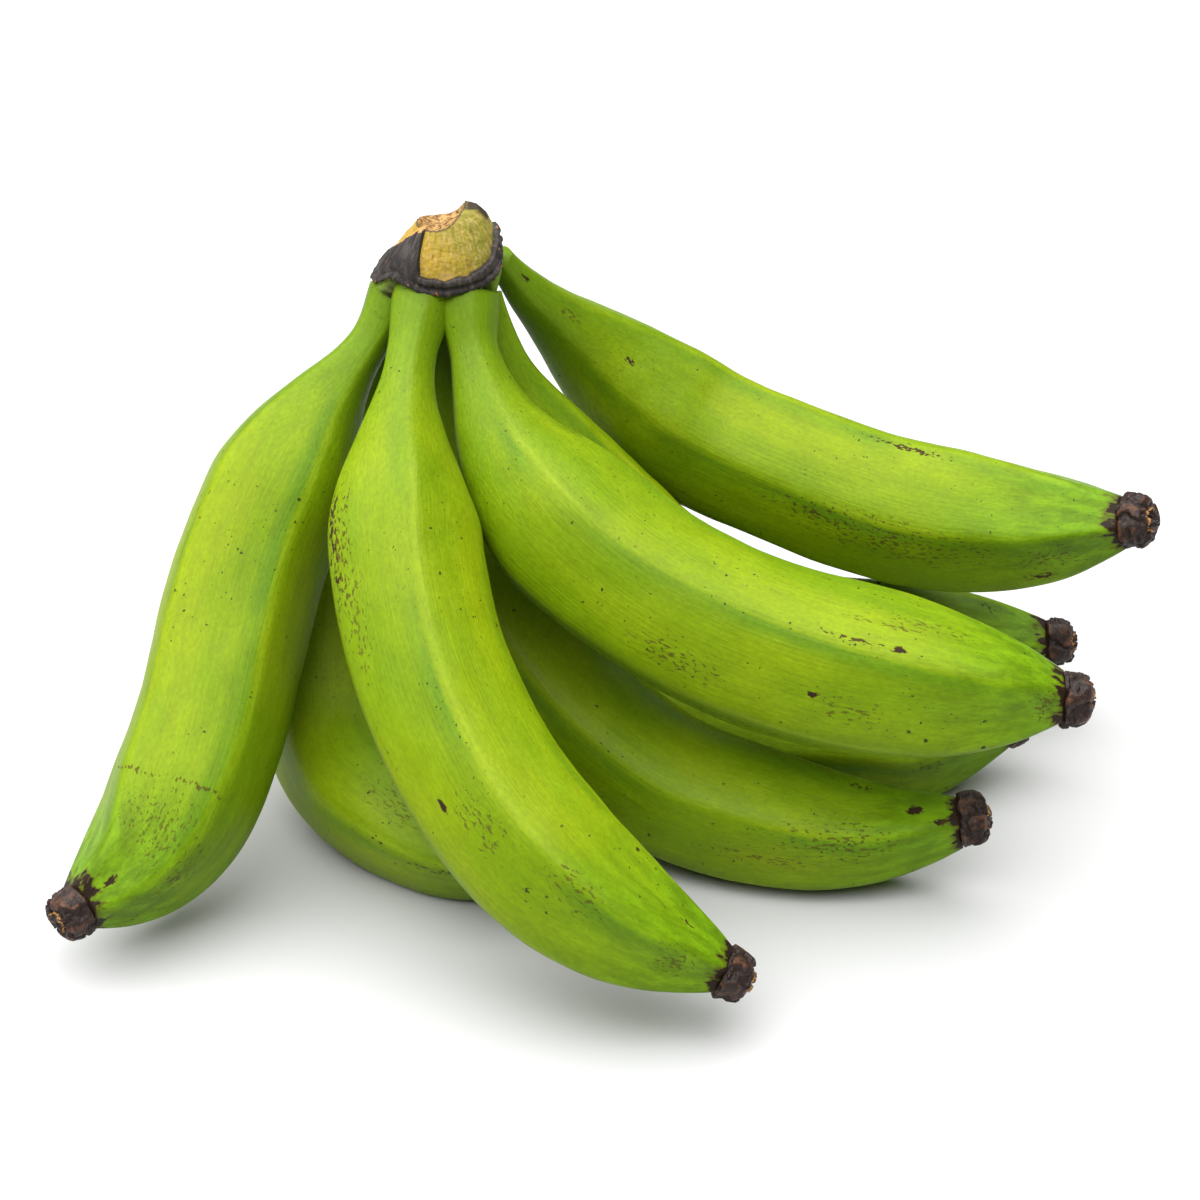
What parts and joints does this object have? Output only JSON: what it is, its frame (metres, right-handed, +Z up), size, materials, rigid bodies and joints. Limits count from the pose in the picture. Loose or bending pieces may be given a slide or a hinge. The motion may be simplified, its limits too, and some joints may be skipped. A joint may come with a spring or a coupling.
{
  "type": "bunch of plantains",
  "caption": "Bunch of curved, ridged green plantains joined at one cut crown, with dried dark blossom ends, lying on its lower fingers.",
  "frame": {"origin": "on the surface the bunch lies on, below the middle of its outline", "axes": "+Z up from that surface; +X along the fingers from the crown's side towards the tips on the right; -Y towards the viewer of the front"},
  "size_m": [0.3376, 0.2333, 0.181],
  "materials": {
    "plantain_skin": "satin",
    "crown_skin": "matte",
    "dried_bract": "dry and cracked",
    "dried_blossom": "rough, dried"
  },
  "bodies": {
    "root": {"crown": "crown_skin", "bract_scar": "dried_bract", "finger_1": "plantain_skin", "blossom_end_1": "dried_blossom", "finger_2": "plantain_skin", "blossom_end_2": "dried_blossom", "finger_3": "plantain_skin", "blossom_end_3": "dried_blossom", "finger_4": "plantain_skin", "blossom_end_4": "dried_blossom", "finger_5": "plantain_skin", "blossom_end_5": "dried_blossom", "finger_6": "plantain_skin", "blossom_end_6": "dried_blossom", "finger_7": "plantain_skin", "blossom_end_7": "dried_blossom", "finger_8": "plantain_skin", "blossom_end_8": "dried_blossom"}
  },
  "joints": []
}
